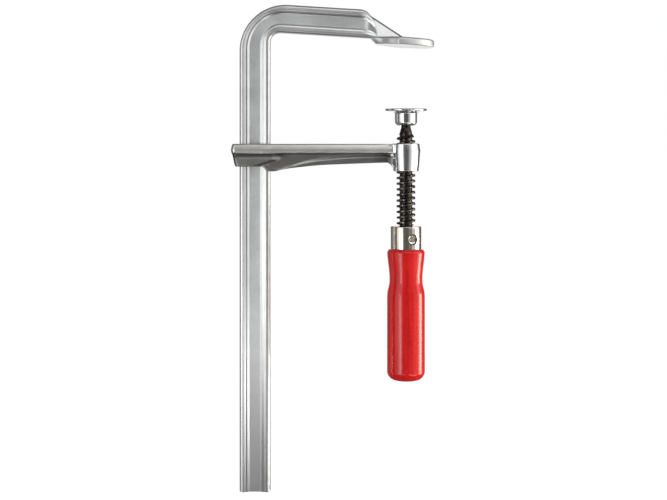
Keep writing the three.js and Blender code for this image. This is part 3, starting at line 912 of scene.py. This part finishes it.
def grip_handle():
    top = FERRULE_FOOT - FIT
    foot = FERRULE_FOOT - HANDLE_LENGTH
    tenon = FERRULE_RADIUS - FERRULE_WALL - FIT
    tenon_top = FERRULE_TOP - FERRULE_ROOF - FIT
    bore = ROOT_RADIUS + FIT
    bore_end = TANG_END - BORE_END_GAP
    shoulder = arc((SHOULDER_RADIUS - SHOULDER_EDGE, top - SHOULDER_EDGE), SHOULDER_EDGE, pi / 2, 0, 10)
    grip = []
    for down, to_waist, to_grip in smoothed(GRIP_SHARES, GRIP_ROWS)[SHOULDER_ROWS:]:
        waist = SHOULDER_RADIUS + (WAIST_RADIUS - SHOULDER_RADIUS) * to_waist
        radius = waist + (GRIP_RADIUS - WAIST_RADIUS) * to_grip
        grip.append((radius, FERRULE_FOOT - HANDLE_LENGTH * down))
    end = arc((GRIP_RADIUS - HANDLE_END_EDGE, foot + HANDLE_END_EDGE), HANDLE_END_EDGE, 0, -pi / 2, 14)
    handle = turned("grip_handle", [
        (bore, tenon_top), (tenon, tenon_top), (tenon, top), *shoulder, *grip, *end,
        (0, foot - HANDLE_END_DOME), (0, bore_end), (bore, bore_end),
    ], loop=True)
    return combined(handle, "DIFFERENCE", pin_rod("hole", PIN_RADIUS + FIT, FERRULE_RADIUS * 2))


SHARP_ANGLE = radians(32)


def dressed(piece, material, body, node):
    """Gives a piece its material, its crisp edges and its body, and hides the solid that it stands for."""
    piece.data.materials.clear()
    piece.data.materials.append(material)
    piece.data.shade_smooth()
    piece.data.set_sharp_from_angle(angle=SHARP_ANGLE)
    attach(piece, body)
    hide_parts(node)


# Finishes

# Painted light: the rail's matt web is painted paler from the first height down to the second
RAIL_PAINTED_LIGHT_FROM = -200 * MM
RAIL_PAINTED_LIGHT_FULL = -340 * MM


class Finish(Tree):
    """A procedural material on Object coordinates, around one Principled shader."""

    def __init__(self, name, **steady):
        self.material = bpy.data.materials.new(name)
        self.material.use_nodes = True
        super().__init__(self.material.node_tree)
        self.tree.nodes.clear()
        self.skin = self.tree.nodes.new("ShaderNodeBsdfPrincipled")
        self.end("ShaderNodeOutputMaterial", Wire(self, self.skin.outputs[0]))
        self.fed(**steady)
        self.place = self.node("ShaderNodeTexCoord", out="Object")

    def fed(self, **looks):
        """The material once these sockets are fed: their names have _ for each space."""
        for socket, value in looks.items():
            self.feed(self.skin.inputs[socket.replace("_", " ")], value)
        return self.material

    def worn(self, colour, roughness, *dents):
        """The material in a colour and roughness, with dents: (height, depth in millimetres) each."""
        normal = None
        for height, depth in dents:
            sockets = {"Height": height, "Distance": depth * MM, "Strength": 1.0}
            if normal:
                sockets["Normal"] = normal
            normal = self.node("ShaderNodeBump", None, sockets)
        return self.fed(Base_Color=colour, Roughness=roughness, Normal=normal)

    def noise(self, scale, detail=3.0, rough=0.55, place=None, warp=0.0):
        """Noise of one scale, or of one for each axis."""
        if isinstance(scale, tuple):
            place = self.node("ShaderNodeMapping", None, {"Vector": self.place, "Scale": scale})
            scale = 1
        return self.node("ShaderNodeTexNoise", None, {
            "Vector": place or self.place, "Scale": scale, "Detail": detail, "Roughness": rough,
            "Distortion": warp,
        })

    def attribute(self, name):
        return self.node("ShaderNodeAttribute", {"attribute_name": name}, out="Fac")

    def edges(self, low, high):
        """1 on outer edges, where hands and neighbours wear a finish through."""
        return self.node("ShaderNodeNewGeometry", out="Pointiness").ease(low, high)


def zinc_plated_rail():
    """Rolled steel under zinc plate: a matt, speckled web, and rims and steps drawn smooth by the rolls."""
    finish = Finish("zinc_plated_rail", Metallic=1.0)
    grain = finish.noise(2200, detail=2)
    mottle = finish.noise(60, detail=5, rough=0.65)
    drawn = finish.noise((1500, 1500, 40), detail=4)
    x, y, z = finish.split(finish.place)
    dip = (RAIL_THICKNESS / 2 - abs(y)) / GROOVE_DEPTH
    groove = finish.attribute("groove")
    web = groove * dip.ease(0.9, 0.97)
    wall = groove - web
    along = x * cos(DROOP) - z * sin(DROOP)
    height = x * sin(DROOP) + z * cos(DROOP)
    # Painted shade: dark lines along the gusset's crest, and two in the fixed arm's upper groove wall
    fall = (RIB_TOP - PAD_THICKNESS) / (RIB_START - RIB_END)
    under = (along + RIB_START) * -fall + RIB_TOP - height
    over_pad = height.ease(PAD_THICKNESS + 0.1 * MM, PAD_THICKNESS + 0.5 * MM)
    on_rib = along.ease(-RIB_START, MM - RIB_START) * over_pad
    crest = under.band(-0.6 * MM, -0.3 * MM, 1.2 * MM, 2.0 * MM) * on_rib
    upper = groove * height.ease(ARM_LIFT + ARM_HEIGHT * 0.55, ARM_LIFT + ARM_HEIGHT * 0.7)
    runs = dip.band(0.02, 0.12, 0.28, 0.36) + dip.band(0.5, 0.56, 0.72, 0.85)
    lines = crest.most(upper * runs * 0.75)
    # The jaw: duller on the pad's side, bright on its face
    jaw = along.ease(-PAD_NECK - MM, MM - PAD_NECK)
    side = jaw * height.ease(PAD_THICKNESS + MM, PAD_THICKNESS)
    face = jaw * height.ease(0.5 * MM, 0.1 * MM)
    shade = mottle.ease(0.3, 0.7) * 0.4 + grain.ease(0.35, 0.65) * 0.4 + drawn * 0.2
    # Painted light: the matt web grows paler towards the rail's foot
    painted_light_low = z.ease(RAIL_PAINTED_LIGHT_FULL, RAIL_PAINTED_LIGHT_FROM, 0.8, 0.0)
    matt = painted_light_low.mix(shade.mix((0.6, 0.61, 0.61), (0.88, 0.89, 0.89)), (0.95, 0.955, 0.955))
    smooth = shade.mix((0.7, 0.705, 0.71), (0.86, 0.865, 0.87))
    # Painted shade: the rims are a darker copy of the smooth zinc, which dims their reflection
    rim = shade.mix((0.6, 0.605, 0.61), (0.75, 0.755, 0.76))
    colour = groove.mix(rim, web.mix(smooth, matt))
    colour = (finish.edges(0.52, 0.6) * 0.4).mix(colour, (0.8, 0.8, 0.8))
    return finish.worn(
        # the painted shade lines, mixed towards near black
        lines.mix(colour, (0.1, 0.095, 0.09)),
        0.33 + mottle * 0.06 + web * 0.04 - wall * 0.06 + side * 0.1 - face * 0.28,
        (mottle, 0.03), (grain * web, 0.02), (drawn, 0.006),
    )


def forged_steel_arm():
    """A tumbled forging: the band painted light and the faces below it painted dark, painted shade in the
    hollows, a painted highlight along the ridge, a rubbed heel and a turned boss.
    """
    finish = Finish("forged_arm", Metallic=1.0)
    x, y, z = finish.split(finish.place)
    grain = finish.noise(1500)
    blotch = finish.noise(90, detail=5, rough=0.6)
    rings = finish.noise((20, 20, 5200), detail=2)
    band_foot = ARM_TOP - BAND_HEIGHT
    low = z.ease(band_foot + 0.2 * MM, band_foot - 0.6 * MM)
    boss = finish.length(x, y).ease(BOSS_RADIUS + 2.4 * MM, BOSS_RADIUS + 0.4 * MM)
    heel = x - low * CHEEK_STEP * 0.8 - HEEL_X
    heel = heel.ease(HEEL_CORNER * 1.1, HEEL_CORNER * 0.5)
    # Painted shade: the forging is darker towards the rail
    painted_shade_to_rail = x.ease(RAIL_INNER_X - 20 * MM, -30 * MM, 0.78, 1.06)
    shade = blotch * 0.16 + painted_shade_to_rail * 0.62
    band = finish.point(shade, shade * 0.99, shade * 0.955)
    # Painted shade, dark in the hollows by the knee, by the boss and on the heel
    cove = z.ease(ARM_TOP - BAND_HEIGHT * 1.5, ARM_TOP - BAND_HEIGHT * 1.3)
    by_knee = cove * x.ease(RAIL_INNER_X + 5 * MM, RAIL_INNER_X + 20 * MM, 0.8, 0.0)
    by_boss = x.ease(-BOSS_RADIUS * 2.6, -BOSS_RADIUS * 1.2, 0.0, 0.6)
    on_heel = x.ease(HEEL_X + 2 * MM, HEEL_X + 9 * MM, 0.4, 0.0)
    scale = by_knee.most(by_boss).most(on_heel)
    # Painted shade: below the band the forging takes this darker colour, and the band keeps the light one
    hollow = blotch.mix((0.2, 0.197, 0.194), (0.3, 0.295, 0.29))
    hollow = scale.mix(hollow, (0.04, 0.039, 0.038))
    # Lighter outer edges where wear shows, and the painted highlight line along the keel's ridge
    rubbed = (finish.edges(0.51, 0.57) * 0.6).most(finish.attribute("ridge"))
    forging = rubbed.mix(low.mix(band, hollow), (0.85, 0.84, 0.82))
    rough = (0.32 + blotch * 0.12 + grain * 0.05) * (1 - heel * 0.55)
    away = 1 - boss
    return finish.worn(
        boss.mix(forging, rings.mix((0.74, 0.75, 0.76), (0.86, 0.865, 0.87))),
        rough * away + boss * (0.14 + rings * 0.06),
        (blotch * away, 0.05), (grain * away, 0.03), (rings * boss, 0.002),
    )


def burnished_screw():
    """Oil-blacked steel, brown where it is thin, with crests rubbed bright in spots by the nut."""
    finish = Finish("burnished_spindle", Metallic=0.9)
    x, y, _ = finish.split(finish.place)
    crest = finish.length(x, y).ease(THREAD_RADIUS - 0.5 * MM, THREAD_RADIUS - 0.05 * MM)
    grain = finish.noise(1300)
    patch = finish.noise(160, detail=4)
    colour = patch.ease(0.35, 0.7).mix((0.02, 0.017, 0.014), (0.09, 0.075, 0.06))
    return finish.worn(
        (crest * grain.ease(0.53, 0.64)).mix(colour, (0.4, 0.38, 0.35)),
        0.15 + patch * 0.14,
        (patch, 0.02), (grain, 0.015),
    )


def bright_plated_pad():
    """Bright plate over a pressed steel pad, with turning marks and scuffs on its face."""
    finish = Finish("bright_plate", Metallic=1.0)
    x, y, z = finish.split(finish.place)
    turning = finish.noise(1, detail=2, place=finish.point(finish.length(x, y) * 3000, z * 3000, 0))
    scuffs = finish.noise(700, detail=6, rough=0.7, warp=1.5)
    face = z.ease(PLATE_FACE - 0.5 * MM, PLATE_FACE - 0.1 * MM)
    return finish.worn(
        scuffs.mix((0.74, 0.75, 0.76), (0.88, 0.885, 0.89)),
        0.09 + face * 0.16 + scuffs.ease(0.5, 0.75) * 0.12,
        (turning, 0.003), (scuffs, 0.004),
    )


def spring_wire():
    """Drawn spring wire, its lines along the wire."""
    finish = Finish("spring_wire", Metallic=1.0)
    drawn = finish.noise((300, 300, 6000))
    return finish.worn(
        drawn.mix((0.34, 0.34, 0.35), (0.58, 0.58, 0.59)),
        0.24 + drawn * 0.16,
        (drawn, 0.004),
    )


def warm_nickel():
    """Bright nickel with a warm tone, rolled smooth, with hair scratches round it."""
    finish = Finish("nickel_ferrule", Metallic=1.0)
    hair = finish.noise((90, 90, 5000), detail=4, rough=0.7)
    cloud = finish.noise(120, detail=4)
    x, y, z = finish.split(finish.place)
    across = x * cos(PIN_ANGLE) + y * sin(PIN_ANGLE)
    out = finish.length(across, z - PIN_Z) / DIMPLE_RADIUS
    # Painted shade: a dark ring on the dimple's wall, only on the -Y side where the dimple is
    painted_dimple_shade = out.band(0.72, 0.84, 1.01, 1.08) * y.ease(-FERRULE_RADIUS / 2, 0, 0.97, 0.0)
    nickel = cloud.mix((0.78, 0.71, 0.6), (0.9, 0.84, 0.74))
    return finish.worn(
        painted_dimple_shade.mix(nickel, (0.09, 0.07, 0.05)),
        0.1 + hair.ease(0.45, 0.75) * 0.12 + cloud * 0.05 + painted_dimple_shade * 0.2,
        (cloud, 0.01), (hair, 0.003),
    )


def ground_pin():
    """Ground steel with a dull, slightly stained end."""
    finish = Finish("pin_steel", Metallic=1.0)
    stain = finish.noise(700, detail=5, rough=0.65)
    return finish.worn(
        stain.mix((0.2, 0.18, 0.16), (0.6, 0.58, 0.55)),
        0.22 + stain * 0.25,
        (stain, 0.03),
    )


def red_lacquer():
    """Glossy red lacquer, through which the turned wood's grain just shows as long soft ripples."""
    finish = Finish(
        "red_lacquered_wood", Metallic=0.0, Specular_IOR_Level=0.1,
        Coat_Weight=0.9, Coat_Roughness=0.05, Coat_IOR=1.5,
    )
    grain = finish.noise((420, 420, 26), detail=5, rough=0.6, warp=0.4)
    ripple = finish.noise((70, 70, 260), detail=2)
    cloud = finish.noise(55)
    colour = grain.ease(0.35, 0.65).mix((0.7, 0.004, 0.006), (0.87, 0.007, 0.007))
    return finish.worn(
        (cloud.ease(0.4, 0.8) * 0.35).mix(colour, (0.92, 0.024, 0.008)),
        0.26 + grain * 0.12,
        (cloud, 0.12), (ripple, 0.02), (grain, 0.012),
    )


# The pieces, each on its body

rail_finish = zinc_plated_rail()
arm_finish = forged_steel_arm()
screw_finish = burnished_screw()
wire_finish = spring_wire()
dressed(profiled_rail(rail_finish), rail_finish, "rail", "rail_bar")
dressed(forged_arm(arm_finish), arm_finish, "arm", "sliding_arm")
dressed(screw_spindle(screw_finish), screw_finish, "screw", "spindle")
dressed(pressure_pad(), bright_plated_pad(), "plate", "pressure_plate")
dressed(wire_ring(wire_finish), wire_finish, "ring", "retaining_ring")
dressed(ferrule_sleeve(), warm_nickel(), "screw", "ferrule")
dressed(rivet_pin(), ground_pin(), "screw", "handle_pin")
dressed(grip_handle(), red_lacquer(), "screw", "handle")


# The camera, soft light, a white sweep and the cards that the metal shows

PHOTO_WIDTH = 667
PHOTO_FOCAL_PIXELS = 1251.3
PHOTO_HORIZON_RISE = 105
CAMERA_PLACE = (-0.06417, -1.109, -0.0876)
SENSOR = 36
SIGHT = 20
FLOOR_Z = -0.6
FLOOR_SIZE = 16
AMBIENT = 0.35
AIM_X = -0.04
WARM = (1.0, 0.92, 0.7)
COOL = (0.92, 0.97, 1.0)
CREAM = (1.0, 0.97, 0.9)
PLAIN = (1.0, 1.0, 1.0)
# Lamps: bearing from the camera's side in degrees, distance, height, fall to what it is aimed at,
# size across and up, radiance, tint
LAMPS = {
    "left_softbox": (-40, 1.0, 0.0, 0, (0.46, 1.2), 0.5, COOL),
    "left_strip": (-37, 0.95, -0.36, 0, (0.18, 0.36), 3.2, PLAIN),
    "right_softbox": (72, 0.9, -0.05, 0, (0.66, 1.1), 1.4, CREAM),
    "right_strip": (95, 0.85, -0.39, 0, (0.26, 0.38), 9.0, WARM),
    "top_softbox": (12, 1.2, 0.62, 0.75, (0.95, 0.42), 1.15, PLAIN),
}
# Cards that only gloss sees, each round an upright line at x: x, bearing, distance, height,
# size across and up, glow at left, middle and right. Those round 0 are for ferrule and handle,
# and those round the rail's inner edge are for its foot.
CARDS = {
    "front_flag": (AIM_X, -0.6, 1.0, -0.4, (0.99, 1.6), (1.0, 0.1, 0.28)),
    "front_fade": (AIM_X, 35.2, 1.0, -0.4, (0.33, 1.6), (0.28, 0.55, 1.0)),
    "upper_left": (AIM_X, -40, 0.97, 0.72, (1.1, 0.64), (0.7, 0.42, 0.7)),
    "left_dark": (AIM_X, -84, 0.78, -0.1, (0.447, 1.7), (0.42, 0.08, 0.8)),
    "left_grey": (AIM_X, -105, 0.8, -0.1, (0.39, 1.7), (0.3, 0.42, 0.4)),
    "left_rim_flag": (AIM_X, -136, 0.7, -0.1, (0.44, 1.7), (0.3, 0.12, 0.25)),
    "right_rim_flag": (AIM_X, 129, 0.7, -0.1, (0.6, 1.7), (0.8, 0.12, 0.3)),
    "left_glow": (AIM_X, -40, 0.99, 0.0, (0.46, 1.2), (1.5, 1.5, 1.5)),
    "low_dark": (0, 31, 0.08, -0.2335, (0.027, 0.157), (0.2, 0.17, 0.3)),
    "low_grey": (0, 55, 0.08, -0.2335, (0.035, 0.157), (0.4, 0.6, 0.85)),
    "foot_left": (RAIL_INNER_X, -24, 0.5, -0.515, (0.58, 0.165), (1.5, 1.2, 1.0)),
    "foot_right": (RAIL_INNER_X, 50, 0.5, -0.51, (0.42, 0.175), (2.5, 2.5, 2.5)),
    "left_fill": (0, -36, 0.7, -0.42, (0.17, 0.4), (1.1, 3.8, 1.1)),
}
# Dark cards over, behind and under the clamp: centre, turn about X in degrees, size, glow
LEVEL_FLAGS = {
    "over_flag": ((-0.04, 0.0, 0.9), 0, (2.0, 1.5), 0.16),
    "back_flag": ((-0.04, 0.9, 0.54), 90, (2.0, 0.91), 0.06),
    "low_flag": ((-0.04, -0.1, -0.55), 0, (1.4, 1.16), 0.1),
}


def set_camera():
    data = bpy.data.cameras.new("bench_camera")
    data.sensor_width = SENSOR
    data.lens = SENSOR * PHOTO_FOCAL_PIXELS / PHOTO_WIDTH
    data.shift_y = -PHOTO_HORIZON_RISE / PHOTO_WIDTH
    data.clip_end = SIGHT
    camera = linked("bench_camera", data)
    camera.location = CAMERA_PLACE
    camera.rotation_euler = (pi / 2, 0, 0)
    bpy.context.scene.camera = camera


def aimed(thing, middle, bearing, distance, height, fall=0):
    """Stands a thing round the upright line at x = middle, facing it."""
    angle = radians(bearing)
    way = Vector((-distance * sin(angle), distance * cos(angle), -fall))
    thing.location = (middle - way.x, -way.y, height)
    thing.rotation_euler = way.to_track_quat("-Z", "Y").to_euler()


def staged_plane(name, width, tall, shine, **steady):
    """A plane outside the model, whose glow shine works out from its finish and place on it."""
    x, y = width / 2, tall / 2
    card = meshed(name, [(-x, -y, 0), (x, -y, 0), (x, y, 0), (-x, y, 0)], [(0, 1, 2, 3)])
    studio = Finish(name, Specular_IOR_Level=0.0, Emission_Strength=1.0, **steady)
    x, y, _ = studio.split(studio.place)
    glow = shine(studio, x, y)
    card.data.materials.append(studio.fed(Emission_Color=studio.point(glow, glow, glow)))
    return card


def studio_card(name, size, left, middle, right):
    """A card whose glow changes softly from its left by its middle to its right."""
    def shine(studio, x, _):
        near, far = size[0] * 0.3, size[0] / 2
        return x.ease(-far, -near, left, middle) + x.ease(near, far, 0, right - middle)

    card = staged_plane(name, *size, shine, Base_Color=(0, 0, 0, 1))
    for sight in ("visible_camera", "visible_diffuse", "visible_shadow"):
        setattr(card, sight, False)
    return card


def light_studio():
    for name, (bearing, distance, height, fall, (width, tall), radiance, tint) in LAMPS.items():
        lamp = bpy.data.lights.new(name, "AREA")
        lamp.shape = "RECTANGLE"
        lamp.size, lamp.size_y = width, tall
        lamp.energy = radiance * pi * width * tall
        lamp.color = tint
        box = linked(name, lamp)
        aimed(box, AIM_X, bearing, distance, height, fall)
        box.visible_camera = False
    for name, (middle, bearing, distance, height, size, glows) in CARDS.items():
        aimed(studio_card(name, size, *glows), middle, bearing, distance, height)
    for name, (centre, turn, size, glow) in LEVEL_FLAGS.items():
        card = studio_card(name, size, glow, glow, glow)
        card.location = centre
        card.rotation_euler = (radians(turn), 0, 0)


def seen(tree, *rays):
    """1 for the named kinds of ray, 0 for the others."""
    first, *others = [tree.node("ShaderNodeLightPath", out=ray) for ray in rays]
    for other in others:
        first = first.most(other)
    return first


def white_floor():
    """A floor that is white to the camera and gentler to everything else."""
    def shine(studio, x, y):
        away = studio.length(x, y)
        camera = seen(studio, "Is Camera Ray")
        shown = away.ease(0.15, 0.6, 0.55, 0.88)
        return shown * camera + away.ease(0.5, 2.5, 0.1, 0.75) * (1 - camera)

    look = {"Roughness": 0.9, "Base_Color": (0.55, 0.55, 0.55, 1)}
    staged_plane("floor", FLOOR_SIZE, FLOOR_SIZE, shine, **look).location.z = FLOOR_Z


def white_world():
    world = bpy.data.worlds.new("white_studio")
    bpy.context.scene.world = world
    world.use_nodes = True
    sky = Tree(world.node_tree)
    sky.tree.nodes.clear()
    strength = seen(sky, "Is Camera Ray", "Is Glossy Ray", "Is Transmission Ray") * (1 - AMBIENT) + AMBIENT
    light = sky.node("ShaderNodeBackground", None, {"Color": (1, 1, 1, 1), "Strength": strength})
    sky.end("ShaderNodeOutputWorld", light)


set_camera()
light_studio()
white_floor()
white_world()
bpy.context.scene.view_settings.view_transform = "Standard"
